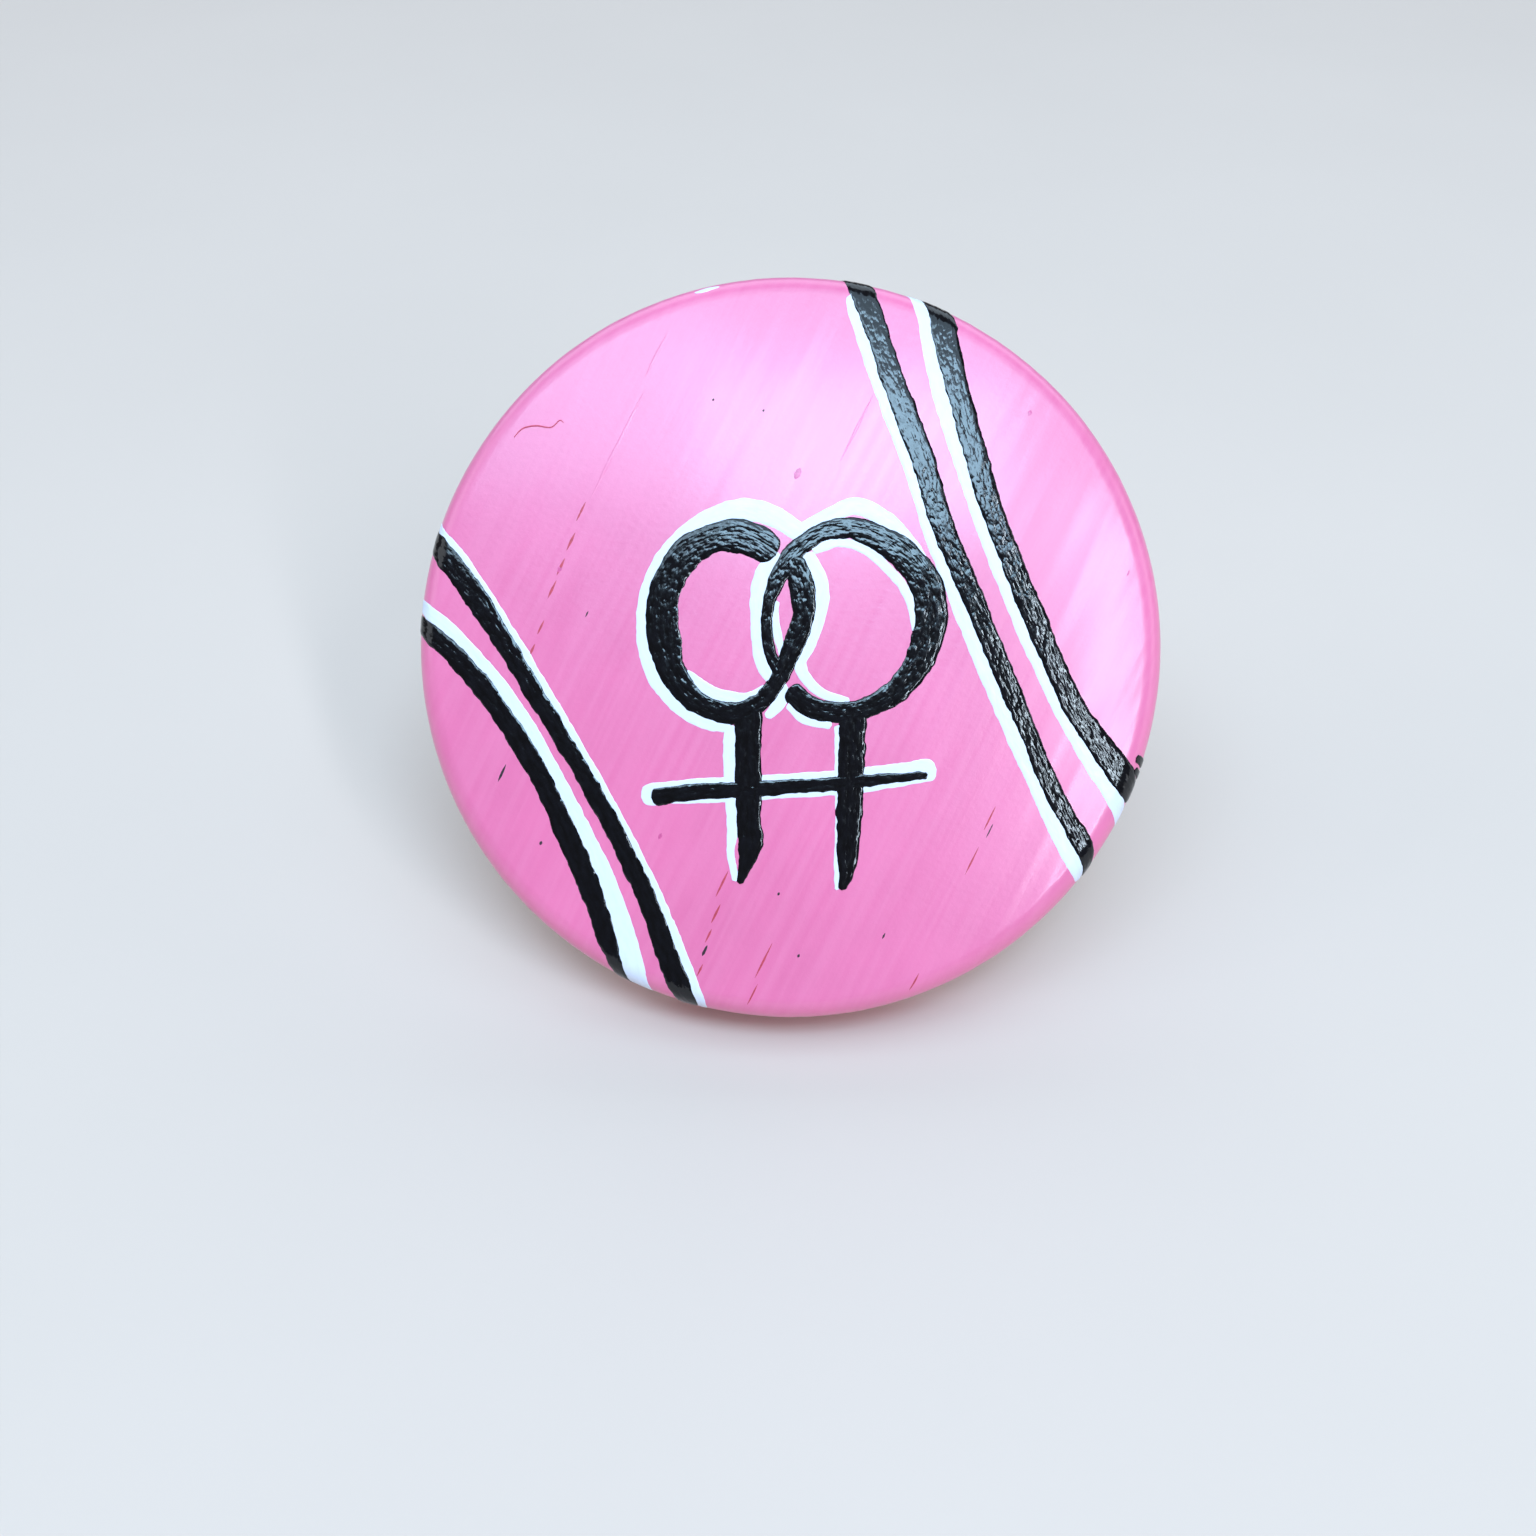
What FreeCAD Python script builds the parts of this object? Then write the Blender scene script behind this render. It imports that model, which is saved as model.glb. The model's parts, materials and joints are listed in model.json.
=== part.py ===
import FreeCAD, Part

import math
import os

from FreeCAD import Vector

# Round hand-painted wooden pin badge with a tie-tack post and a butterfly clutch.
#
# Every piece is first built about the badge's own axis: z points out of the painted
# face, z = 0 is the flat wooden back, y points to the top of the artwork. Places
# behind the back are given as a depth, which is -z. The finished badge is then
# leaned back until its lower edge and the tip of the lower wing both touch z = 0,
# as it lies on a table. Sizes are in millimetres and degrees.

# ---- driving dimensions -------------------------------------------------------

# painted disc
disc_radius = 15.0
disc_thickness = 5.0
dome_radius = 110.0
edge_radius = 1.0
back_edge_radius = 0.6
paint_thickness = 0.08

# glue and tack
glue_thickness = 0.15
glue_reach = 0.8
glue_climb = 0.32
glue_hollow_share = 0.36
pad_radius = 5.0
pad_thickness = 0.4
pad_edge_radius = 0.15
boss_radius = 1.4
boss_height = 0.4
boss_edge_radius = 0.15
post_radius = 0.55
post_seat_radius = 0.8
post_end_depth = 8.8
post_head_radius = 1.1
post_head_thickness = 0.15
point_length = 1.5
point_flat_radius = 0.08
groove_count = 3
groove_first_depth = 3.5
groove_pitch = 1.3
groove_width = 0.6
groove_flank = 0.15
groove_cut = 0.17

# clutch cup
clutch_depth = 3.6
cup_radius = 5.5
cup_height = 3.7
cup_sheet = 0.3
cup_corner_radius = 0.65
funnel_radius = 1.5
funnel_height = 0.3
funnel_bend_radius = 0.3
hole_clearance = 0.13
lip_reach = 0.75
lip_bend_radius = 0.4

# clutch spring and wings
spring_sheet = 0.25
spring_half_width = 2.2
spring_wall_clearance = 0.15
spring_bend_radius = 0.6
shoulder_bend_radius = 0.4
shoulder_clearance = 0.2
shoulder_reach = 0.7
spring_hole_clearance = 0.3
hinge_gap = 0.05
leaf_reach = 1.9
leaf_drop = 0.9
leaf_bend_radius = 0.35
wing_rise = 2.4
wing_lean = 0.5
wing_bend_radius = 1.3
wing_tip_radius = 6.1
wing_tip_height = 5.5
wing_tip_half_width = 3.3
wing_corner_radius = 1.3
tongue_half_width = 0.9
tongue_window_clearance = 0.12
tongue_window_height = 1.75
jaw_half_gap = 0.12
jaw_clearance = 0.05

# ---- sizes that follow from them ----------------------------------------------

pad_depth = glue_thickness
pad_face_depth = pad_depth + pad_thickness
boss_face_depth = pad_face_depth + boss_height
cup_hole_radius = post_radius + hole_clearance
floor_height = cup_sheet + spring_sheet / 2
spring_hole_radius = funnel_radius + spring_hole_clearance
side_reach = (
    math.sqrt((cup_radius - cup_sheet - spring_wall_clearance) ** 2 - spring_half_width ** 2)
    - spring_sheet / 2
)
shoulder_height = cup_height - cup_sheet - shoulder_clearance - spring_sheet / 2
hinge_reach = side_reach - shoulder_reach
leaf_start_reach = hinge_reach - spring_sheet / 2 - hinge_gap

AXIS = Vector(0, 0, 1)
ORIGIN = Vector(0, 0, 0)
SAME_PLACE = 1e-6


# ---- outline helpers ----------------------------------------------------------


def corner(before, at, after, radius):
    """Tangent points, centre and turn of a bend of the given radius at a corner."""
    into = (at - before).normalize()
    out = (after - at).normalize()
    turn = math.acos(max(-1.0, min(1.0, into.dot(out))))
    run = radius * math.tan(turn / 2)
    start = at - into * run
    end = at + out * run
    centre = at + (out - into).normalize() * (radius / math.cos(turn / 2))
    return start, end, centre


def rounded_wire(points):
    """Closed wire through (u, v, radius) corners, in the plane x = u, z = v."""
    spots = [Vector(u, 0, v) for u, v, _ in points]
    count = len(points)
    ends = []
    for i in range(count):
        radius = points[i][2]
        if radius > 0:
            start, end, centre = corner(spots[i - 1], spots[i], spots[(i + 1) % count], radius)
            middle = centre + (spots[i] - centre).normalize() * radius
            ends.append((start, middle, end))
        else:
            ends.append((spots[i], None, spots[i]))
    edges = []
    for i in range(count):
        start, middle, end = ends[i]
        if middle is not None:
            edges.append(Part.Arc(start, middle, end).toShape())
        following = ends[(i + 1) % count][0]
        if end.distanceToPoint(following) > SAME_PLACE:
            edges.append(Part.LineSegment(end, following).toShape())
    return Part.Wire(edges)


def turned(points):
    """Solid of revolution about the badge axis from (radius, depth, rounding) corners."""
    wire = rounded_wire([(radius, -depth, rounding) for radius, depth, rounding in points])
    return Part.Face(wire).revolve(ORIGIN, AXIS, 360)


def sheet_face(path, sheet, round_start=False, round_end=False):
    """Cross-section of a bent sheet: a centre line of (u, v, bend radius) given a thickness."""
    spots = [Vector(u, 0, v) for u, v, _ in path]
    half = sheet / 2
    sides = {1: [], -1: []}
    for side in sides:
        run = []
        for i in range(len(spots)):
            first = i == 0
            last = i == len(spots) - 1
            if first or last:
                along = (spots[1] - spots[0]) if first else (spots[-1] - spots[-2])
                across = Vector(-along.z, 0, along.x).normalize() * (half * side)
                run.append((spots[i] + across, None, spots[i] + across))
                continue
            radius = path[i][2]
            start, end, centre = corner(spots[i - 1], spots[i], spots[i + 1], radius)
            into = (spots[i] - spots[i - 1]).normalize()
            left = Vector(-into.z, 0, into.x)
            inner = left.dot(centre - spots[i]) * side > 0
            reach = radius - half if inner else radius + half
            points = []
            for place in (start, spots[i], end):
                points.append(centre + (place - centre).normalize() * reach)
            run.append(tuple(points))
        sides[side] = run
    edges = side_edges(sides[1])
    edges += end_edges(sides[1][-1][2], sides[-1][-1][2], spots[-1], spots[-2], round_end)
    edges += side_edges(sides[-1])
    edges += end_edges(sides[1][0][0], sides[-1][0][0], spots[0], spots[1], round_start)
    return Part.Face(Part.Wire(Part.__sortEdges__(edges)))


def side_edges(run):
    """Lines and bend arcs along one side of a bent sheet."""
    edges = []
    for i in range(len(run)):
        start, middle, end = run[i]
        if middle is not None:
            edges.append(Part.Arc(start, middle, end).toShape())
        if i + 1 < len(run):
            edges.append(Part.LineSegment(end, run[i + 1][0]).toShape())
    return edges


def end_edges(one, other, tip, behind, rounded):
    """Square or half-round end of a bent sheet."""
    if not rounded:
        return [Part.LineSegment(one, other).toShape()]
    out = (tip - behind).normalize() * (one.distanceToPoint(other) / 2)
    return [Part.Arc(one, tip + out, other).toShape()]


def clutch_strip(path, half_width, side=1, round_start=False, round_end=False):
    """Bent strip of the clutch: (reach along y, height above the cup's base), spread along x."""
    placed = [(reach, -(clutch_depth + height), bend) for reach, height, bend in path]
    face = sheet_face(placed, spring_sheet, round_start, round_end)
    solid = face.extrude(Vector(0, 2 * half_width, 0))
    solid.translate(Vector(0, -half_width, 0))
    solid.rotate(ORIGIN, AXIS, 90 * side)
    return solid


def upright_cylinder(radius, low, high):
    """Cylinder on the badge axis between two depths."""
    return Part.makeCylinder(radius, high - low, Vector(0, 0, -high), AXIS)


# ---- the painted disc ---------------------------------------------------------


def disc_face(skin):
    """Half section of the disc with a skin of the given thickness taken off all round."""
    dome = dome_radius - skin
    edge = edge_radius - skin
    back = back_edge_radius - skin
    side = disc_radius - skin
    dome_centre = disc_thickness - dome_radius
    edge_x = disc_radius - edge_radius
    edge_z = dome_centre + math.sqrt((dome_radius - edge_radius) ** 2 - edge_x ** 2)
    back_x = disc_radius - back_edge_radius
    slope = math.atan2(edge_x, edge_z - dome_centre)

    top = Vector(0, 0, dome_centre + dome)
    crown = Vector(dome * math.sin(slope / 2), 0, dome_centre + dome * math.cos(slope / 2))
    shoulder = Vector(dome * math.sin(slope), 0, dome_centre + dome * math.cos(slope))
    turn = (math.pi / 2 - slope) / 2
    knuckle = Vector(edge_x + edge * math.cos(turn), 0, edge_z + edge * math.sin(turn))
    wall_top = Vector(side, 0, edge_z)
    wall_foot = Vector(side, 0, back_edge_radius)
    bend = Vector(
        back_x + back * math.cos(math.pi / 4), 0, back_edge_radius - back * math.sin(math.pi / 4)
    )
    heel = Vector(back_x, 0, back_edge_radius - back)
    toe = Vector(back_x, 0, 0)
    edges = [
        Part.Arc(top, crown, shoulder).toShape(),
        Part.Arc(shoulder, knuckle, wall_top).toShape(),
        Part.LineSegment(wall_top, wall_foot).toShape(),
        Part.Arc(wall_foot, bend, heel).toShape(),
    ]
    if skin > 0:
        edges.append(Part.LineSegment(heel, toe).toShape())
    edges.append(Part.LineSegment(toe, ORIGIN).toShape())
    edges.append(Part.LineSegment(ORIGIN, top).toShape())
    return Part.Face(Part.Wire(edges))


def wooden_disc():
    """The hardwood blank: domed face, rounded edge, flat back."""
    return disc_face(paint_thickness).revolve(ORIGIN, AXIS, 360)


def paint_coat():
    """The skin of gloss paint over the face and the edge, ending where the back is flat."""
    whole = disc_face(0.0).revolve(ORIGIN, AXIS, 360)
    return whole.cut(wooden_disc())


# ---- the tack -----------------------------------------------------------------


def glue_bed():
    """Epoxy under the pad, with a hollow fillet climbing its edge."""
    outer = pad_radius + glue_reach
    climb = pad_depth + glue_climb
    foot = Vector(outer, 0, 0)
    crest = Vector(pad_radius, 0, -climb)
    hollow_reach = pad_radius + glue_reach * glue_hollow_share
    hollow = Vector(hollow_reach, 0, -climb * glue_hollow_share)
    inner = Vector(pad_radius, 0, -pad_depth)
    floor = Vector(0, 0, -pad_depth)
    edges = [
        Part.LineSegment(ORIGIN, foot).toShape(),
        Part.Arc(foot, hollow, crest).toShape(),
        Part.LineSegment(crest, inner).toShape(),
        Part.LineSegment(inner, floor).toShape(),
        Part.LineSegment(floor, ORIGIN).toShape(),
    ]
    return Part.Face(Part.Wire(edges)).revolve(ORIGIN, AXIS, 360)


def tack_pad():
    """Stamped round pad with a raised boss that the post is set in."""
    return turned([
        (post_head_radius, pad_depth, 0),
        (pad_radius, pad_depth, 0),
        (pad_radius, pad_face_depth, pad_edge_radius),
        (boss_radius, pad_face_depth, 0),
        (boss_radius, boss_face_depth, boss_edge_radius),
        (post_seat_radius, boss_face_depth, 0),
        (post_seat_radius, pad_depth + post_head_thickness, 0),
        (post_head_radius, pad_depth + post_head_thickness, 0),
    ])


def tack_post():
    """Headed, pointed and grooved pin, a little thicker where it is seated in the pad."""
    outline = [
        (0, pad_depth, 0),
        (post_head_radius, pad_depth, 0),
        (post_head_radius, pad_depth + post_head_thickness, 0),
        (post_seat_radius, pad_depth + post_head_thickness, 0),
        (post_seat_radius, boss_face_depth, 0),
        (post_radius, boss_face_depth, 0),
    ]
    for i in range(groove_count):
        start = groove_first_depth + i * groove_pitch
        outline += [
            (post_radius, start, 0),
            (post_radius - groove_cut, start + groove_flank, 0),
            (post_radius - groove_cut, start + groove_width - groove_flank, 0),
            (post_radius, start + groove_width, 0),
        ]
    outline += [
        (post_radius, post_end_depth - point_length, 0),
        (point_flat_radius, post_end_depth, 0),
        (0, post_end_depth, 0),
    ]
    return turned(outline)


# ---- the clutch ---------------------------------------------------------------


def clutch_cup():
    """Drawn cup: dimpled hole for the post, flat base, wall, and a lip turned in."""
    half = cup_sheet / 2
    wall = cup_radius - half
    path = [
        (0, half + funnel_height, 0),
        (cup_hole_radius, half + funnel_height, funnel_bend_radius),
        (funnel_radius, half, funnel_bend_radius),
        (wall, half, cup_corner_radius),
        (wall, cup_height - half, lip_bend_radius),
        (cup_radius - lip_reach, cup_height - half, 0),
    ]
    placed = [(radius, -(clutch_depth + height), bend) for radius, height, bend in path]
    cup = sheet_face(placed, cup_sheet).revolve(ORIGIN, AXIS, 360)
    hole = upright_cylinder(cup_hole_radius, clutch_depth, clutch_depth + cup_height)
    return cup.cut(hole)


def clutch_spring():
    """Bowed spring strip on the cup's floor, its shoulders tucked under the lip."""
    half_path = [
        (side_reach, floor_height, spring_bend_radius),
        (side_reach, shoulder_height, shoulder_bend_radius),
        (hinge_reach, shoulder_height, 0),
    ]
    other_half = [(-reach, height, bend) for reach, height, bend in reversed(half_path)]
    strip = clutch_strip(other_half + half_path, spring_half_width)
    hole = upright_cylinder(spring_hole_radius, clutch_depth, clutch_depth + cup_height)
    return strip.cut(hole)


def wing_outline():
    """Flat outline of a wing seen along the post: as wide as the spring, then flaring out."""
    far = wing_tip_radius + spring_sheet / 2
    wire = rounded_wire([
        (spring_half_width, 0, 0),
        (spring_half_width, hinge_reach, 0),
        (wing_tip_half_width, far, wing_corner_radius),
        (-wing_tip_half_width, far, wing_corner_radius),
        (-spring_half_width, hinge_reach, 0),
        (-spring_half_width, 0, 0),
    ])
    wire.rotate(ORIGIN, Vector(1, 0, 0), -90)
    bottom = clutch_depth + wing_tip_height + spring_sheet
    prism = Part.Face(wire).extrude(Vector(0, 0, bottom))
    prism.translate(Vector(0, 0, -bottom))
    return prism


def tongue_window(path):
    """Opening that the jaw tongue is cut out of, from the leaf's straight part upwards."""
    spots = [Vector(reach, 0, height) for reach, height, _ in path]
    leaf_end = corner(spots[0], spots[1], spots[2], leaf_bend_radius)[0].x
    half_width = tongue_half_width + tongue_window_clearance
    top_depth = clutch_depth + spots[1].z + tongue_window_height
    place = Vector(-half_width, 0, -top_depth)
    return Part.makeBox(2 * half_width, leaf_end, top_depth - clutch_depth - cup_sheet, place)


def clutch_wing(side):
    """One lever of the clutch: leaf with a jaw tongue, and the wing that the finger pushes."""
    bend_reach = leaf_start_reach - leaf_reach
    bend_height = shoulder_height - leaf_drop
    slope = leaf_drop / leaf_reach
    path = [
        (leaf_start_reach, shoulder_height, 0),
        (bend_reach, bend_height, leaf_bend_radius),
        (bend_reach + wing_lean, bend_height + wing_rise, wing_bend_radius),
        (wing_tip_radius, wing_tip_height, 0),
    ]
    wing = clutch_strip(path, wing_tip_half_width, side, True, True)
    outline = wing_outline()
    window = tongue_window(path)
    if side < 0:
        outline.rotate(ORIGIN, AXIS, 180)
        window.rotate(ORIGIN, AXIS, 180)
    wing = wing.common(outline).cut(window)
    tongue_path = [
        (bend_reach + leaf_reach / 2, bend_height + leaf_drop / 2, 0),
        (jaw_half_gap, bend_height - slope * (bend_reach - jaw_half_gap), 0),
    ]
    tongue = clutch_strip(tongue_path, tongue_half_width, side)
    notch = upright_cylinder(
        post_radius + jaw_clearance, clutch_depth, clutch_depth + wing_tip_height
    )
    return wing.fuse(tongue).removeSplitter().cut(notch)


# ---- how the badge lies -------------------------------------------------------


def lean_angle():
    """Elevation of the face's normal, where the edge and the lower wing tip touch one plane.

    The lowest points are on two circles of the side section: the back edge's rounding
    and the half-round end of the wing. Their supports are equal at this angle.
    """
    across = disc_radius - back_edge_radius - wing_tip_radius
    along = back_edge_radius + clutch_depth + wing_tip_height
    difference = spring_sheet / 2 - back_edge_radius
    return math.acos(difference / math.hypot(across, along)) - math.atan2(along, across)


def resting_height(elevation):
    """Height of the badge's local origin above the table."""
    low = (disc_radius - back_edge_radius) * math.cos(elevation)
    return low - back_edge_radius * math.sin(elevation) + back_edge_radius


def main():
    pieces = {
        "wooden_disc": wooden_disc(),
        "paint_coat": paint_coat(),
        "glue_bed": glue_bed(),
        "tack_pad": tack_pad(),
        "tack_post": tack_post(),
        "clutch_cup": clutch_cup(),
        "clutch_spring": clutch_spring(),
        "clutch_wing_upper": clutch_wing(1),
        "clutch_wing_lower": clutch_wing(-1),
    }
    elevation = lean_angle()
    for shape in pieces.values():
        shape.rotate(ORIGIN, Vector(1, 0, 0), 90 - math.degrees(elevation))
        shape.translate(Vector(0, 0, resting_height(elevation)))
    box = Part.makeCompound(list(pieces.values())).optimalBoundingBox(False)
    shift = -(box.YMin + box.YMax) / 2
    os.makedirs("parts", exist_ok=True)
    for name, shape in pieces.items():
        shape.translate(Vector(0, shift, 0))
        shape.exportStep("parts/" + name + ".step")
        print(name, "solids", len(shape.Solids), "volume", round(shape.Volume, 3), shape.isValid())
    print("face elevation", round(math.degrees(elevation), 4))
    print("origin height", round(resting_height(elevation), 4), "forward shift", round(shift, 4))
    print("size", round(box.XLength, 3), round(box.YLength, 3), round(box.ZLength, 3))


main()
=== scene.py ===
import json
import math

import bpy
import numpy as np
from bpy.props import FloatProperty, FloatVectorProperty, IntProperty, PointerProperty
from mathutils import Matrix, Vector


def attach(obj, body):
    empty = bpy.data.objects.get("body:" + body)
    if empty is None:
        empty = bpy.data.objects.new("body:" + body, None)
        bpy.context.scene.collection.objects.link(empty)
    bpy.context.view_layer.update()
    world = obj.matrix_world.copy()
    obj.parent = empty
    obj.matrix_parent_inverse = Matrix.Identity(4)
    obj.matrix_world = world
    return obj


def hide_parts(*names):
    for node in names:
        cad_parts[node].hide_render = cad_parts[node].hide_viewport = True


bl_info = {
    "name": "Painted Pin Badge",
    "version": (1, 0, 0),
    "blender": (4, 5, 0),
    "location": "View3D > Sidebar > Pin Badge",
    "description": "Builds a hand-painted wooden pin badge round its packed CAD frame",
    "category": "Add Mesh",
}

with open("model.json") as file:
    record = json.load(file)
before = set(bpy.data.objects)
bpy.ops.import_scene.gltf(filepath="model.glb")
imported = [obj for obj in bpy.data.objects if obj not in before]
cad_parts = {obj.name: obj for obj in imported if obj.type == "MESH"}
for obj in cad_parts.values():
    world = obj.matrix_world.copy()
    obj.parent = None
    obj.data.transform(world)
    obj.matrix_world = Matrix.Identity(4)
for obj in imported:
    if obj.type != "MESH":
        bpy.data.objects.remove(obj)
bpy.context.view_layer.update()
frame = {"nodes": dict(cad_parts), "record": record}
MM = 0.001

# ---- the badge's own axes, read from the frame --------------------------------
# Local places are in millimetres: x to the right of the face, y to the top of the
# artwork, z out of the face, with z = 0 on the flat wooden back.

MOUNTS = {mount["name"]: mount for mount in frame["record"]["mounts"]}
BACKWARD = np.array(MOUNTS["post"]["axis"], float)
RIGHT = np.array((1.0, 0.0, 0.0))
UP = np.cross(-BACKWARD, RIGHT)
ON_AXIS = np.array(MOUNTS["post"]["pos_m"], float)


def node_points(node):
    """Vertices of a CAD node as an array of world places in metres."""
    mesh = frame["nodes"][node].data
    flat = np.empty(len(mesh.vertices) * 3, np.float32)
    mesh.vertices.foreach_get("co", flat)
    return flat.reshape(-1, 3).astype(float)


CENTRE = ON_AXIS + BACKWARD * ((node_points("wooden_disc") - ON_AXIS) @ BACKWARD).max()
LOCAL_AXES = np.stack((RIGHT, UP, -BACKWARD))
TURN = math.atan2(UP[2], UP[1])


def measure(node):
    """Lowest z, highest z and largest radius of a CAD node about the badge's axis, in mm."""
    local = (node_points(node) - CENTRE) @ LOCAL_AXES.T / MM
    return local[:, 2].min(), local[:, 2].max(), np.hypot(local[:, 0], local[:, 1]).max()


def to_world(local):
    """Local millimetres to world metres, for an array whose last axis is x, y, z."""
    return CENTRE + (local * MM) @ LOCAL_AXES


DISC_RADIUS = measure("paint_coat")[2]
DISC_THICKNESS = measure("paint_coat")[1]
WOOD_RADIUS = measure("wooden_disc")[2]
PAD_RADIUS = measure("tack_pad")[2]
GLUE_RADIUS = measure("glue_bed")[2]


# ---- what a user may change ---------------------------------------------------


class BadgeCoat(bpy.types.PropertyGroup):
    """Pink paint: colour, outline of the face and brushed relief."""

    colour: FloatVectorProperty(
        name="Pink", description="Colour of the coat", subtype="COLOR", size=3,
        default=(0.755, 0.158, 0.325), min=0, max=1)
    dome_radius: FloatProperty(
        name="Dome radius", description="Radius of the domed face, mm", default=110.0, min=20)
    edge_radius: FloatProperty(
        name="Edge radius", description="Rounding of the front edge, mm", default=1.0, min=0.2)
    back_radius: FloatProperty(
        name="Back radius", description="Rounding of the back edge, mm", default=0.6, min=0.1)
    grain_angle: FloatProperty(
        name="Grain angle", description="Way the grain and the brush ran across the face",
        subtype="ANGLE", unit="ROTATION", default=math.radians(64))
    brush_relief: FloatProperty(
        name="Brush relief", description="Height of the bristle tracks, mm", default=0.011, min=0)
    roughness: FloatProperty(
        name="Roughness", description="Roughness of the gloss", subtype="FACTOR",
        default=0.34, min=0, max=1)
    rings: IntProperty(
        name="Rings", description="Rings of faces from the middle to the back", default=148,
        min=20, max=150)


class BadgeLines(bpy.types.PropertyGroup):
    """White and black brush lines."""

    white: FloatVectorProperty(
        name="White", description="Colour of the white lines", subtype="COLOR", size=3,
        default=(0.71, 0.73, 0.86), min=0, max=1)
    black: FloatVectorProperty(
        name="Black", description="Colour of the black lines", subtype="COLOR", size=3,
        default=(0.002, 0.002, 0.003), min=0, max=1)
    white_height: FloatProperty(
        name="White height", description="Thickness of a white line, mm", default=0.016, min=0.01)
    black_height: FloatProperty(
        name="Black height", description="Thickness of a black line, mm", default=0.042, min=0.01)
    bristle_relief: FloatProperty(
        name="Bristle relief", description="Height of the tracks along a line, mm",
        default=0.008, min=0)
    white_ragged: FloatProperty(
        name="White raggedness", description="How far the white edges wander, mm",
        default=0.03, min=0, max=0.3)
    black_ragged: FloatProperty(
        name="Black raggedness", description="How far the black edges wander, mm",
        default=0.05, min=0, max=0.3)


class BadgeBack(bpy.types.PropertyGroup):
    """Bare wood, glue and metal behind the face."""

    wood: FloatVectorProperty(
        name="Wood", description="Colour of the bare wood", subtype="COLOR", size=3,
        default=(0.56, 0.34, 0.17), min=0, max=1)
    nickel: FloatVectorProperty(
        name="Nickel", description="Colour of the plated tack", subtype="COLOR", size=3,
        default=(0.73, 0.71, 0.67), min=0, max=1)
    brass: FloatVectorProperty(
        name="Brass", description="Colour of the clutch", subtype="COLOR", size=3,
        default=(0.80, 0.58, 0.27), min=0, max=1)
    glue: FloatVectorProperty(
        name="Glue", description="Colour of the set glue", subtype="COLOR", size=3,
        default=(0.84, 0.62, 0.30), min=0, max=1)


class BadgeStage(bpy.types.PropertyGroup):
    """Floor, lights and camera."""

    floor: FloatVectorProperty(
        name="Floor", description="Colour of the floor", subtype="COLOR", size=3,
        default=(0.60, 0.48, 0.42), min=0, max=1)
    lens: FloatProperty(
        name="Lens", description="Focal length, mm", subtype="DISTANCE_CAMERA",
        default=35.4, min=1)
    distance: FloatProperty(
        name="Distance", description="Camera to the disc's widest ring, mm",
        default=61.4, min=10)
    aim_right: FloatProperty(
        name="Aim right", description="Where the lens axis meets the face, mm", default=-0.92)
    aim_up: FloatProperty(
        name="Aim up", description="Where the lens axis meets the face, mm", default=-4.89)


def settings(name):
    """One of the add-on's property groups."""
    return getattr(bpy.context.scene, "badge_" + name)


# ---- numbers on grids ---------------------------------------------------------


def smooth_noise(u, v, seed):
    """Smooth random field from 0 to 1: a seeded square lattice of values that repeats,
    blended between its points with the fade 3t^2 - 2t^3 in each direction."""
    lattice = np.random.default_rng(seed).random((128, 128))
    size = lattice.shape[0]
    column = np.floor(u).astype(int)
    row = np.floor(v).astype(int)
    across = u - column
    down = v - row
    across = across * across * (3 - 2 * across)
    down = down * down * (3 - 2 * down)
    first = lattice[column % size, row % size] * (1 - across)
    first = first + lattice[(column + 1) % size, row % size] * across
    second = lattice[column % size, (row + 1) % size] * (1 - across)
    second = second + lattice[(column + 1) % size, (row + 1) % size] * across
    return first * (1 - down) + second * down


def side_profile(reach):
    """Outline of the painted disc as radius, z and outward normal at a reach, which is the
    distance in mm along the surface from the middle of the face: the dome's arc, the edge's
    arc, the straight side, the back edge's arc, and then the flat back towards the axis."""
    coat = settings("coat")
    dome = coat.dome_radius
    edge = coat.edge_radius
    back = coat.back_radius
    dome_z = DISC_THICKNESS - dome
    edge_x = DISC_RADIUS - edge
    edge_z = dome_z + math.sqrt((dome - edge) ** 2 - edge_x ** 2)
    lean = math.atan2(edge_x, edge_z - dome_z)
    dome_end = dome * lean
    edge_end = dome_end + edge * (math.pi / 2 - lean)
    side_end = edge_end + edge_z - back
    back_end = side_end + back * math.pi / 2
    back_x = DISC_RADIUS - back

    on_dome = reach / dome
    on_edge = lean + (reach - dome_end) / edge
    on_back = math.pi / 2 + (reach - side_end) / back
    places = [reach < dome_end, reach < edge_end, reach < side_end, reach < back_end]
    angle = np.select(places, [on_dome, on_edge, np.pi / 2 + 0 * reach, on_back], np.pi)
    radius = np.select(places, [
        dome * np.sin(on_dome),
        edge_x + edge * np.sin(on_edge),
        DISC_RADIUS + 0 * reach,
        back_x + back * np.sin(on_back),
    ], back_x - (reach - back_end))
    height = np.select(places, [
        dome_z + dome * np.cos(on_dome),
        edge_z + edge * np.cos(on_edge),
        edge_z - (reach - edge_end),
        back + back * np.cos(on_back),
    ], 0.0)
    return radius, height, np.sin(angle), np.cos(angle), (dome_end, edge_end, side_end, back_end)


def grain_axes(x, y):
    """Distance along the grain and distance across it, for places on the face."""
    angle = settings("coat").grain_angle
    along = x * math.cos(angle) + y * math.sin(angle)
    across = -x * math.sin(angle) + y * math.cos(angle)
    return along, across


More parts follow.
